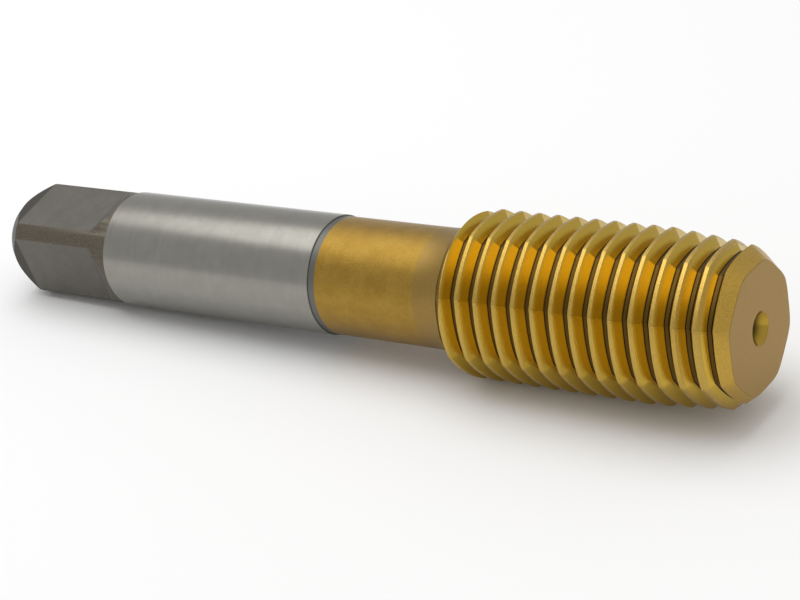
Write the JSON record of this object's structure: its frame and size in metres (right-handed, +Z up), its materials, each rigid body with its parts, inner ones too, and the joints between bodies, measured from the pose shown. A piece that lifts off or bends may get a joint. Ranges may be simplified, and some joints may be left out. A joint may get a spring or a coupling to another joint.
{
  "type": "thread tap",
  "caption": "Thread-forming tap: a coarse lobed screw thread with a tapered lead, a slim neck, a round ground shank and a milled drive square.",
  "frame": {"origin": "middle of the footprint, on the surface that the tap lies on", "axes": "+X along the tap towards its thread end, +Z up; the axis of the tap climbs about 2.4 degrees towards +X, because the thread is thicker than the shank"},
  "size_m": [0.1306, 0.0236, 0.0248],
  "materials": {
    "ground_steel": "fine ground, with faint rings round the shank",
    "nitride_gold": "hard gold-coloured coating, polished on the thread and satin on the neck and nose",
    "dark_steel": "as hardened and milled, dull dark grey"
  },
  "bodies": {
    "root": {"thread_tap": "ground_steel"}
  },
  "joints": []
}
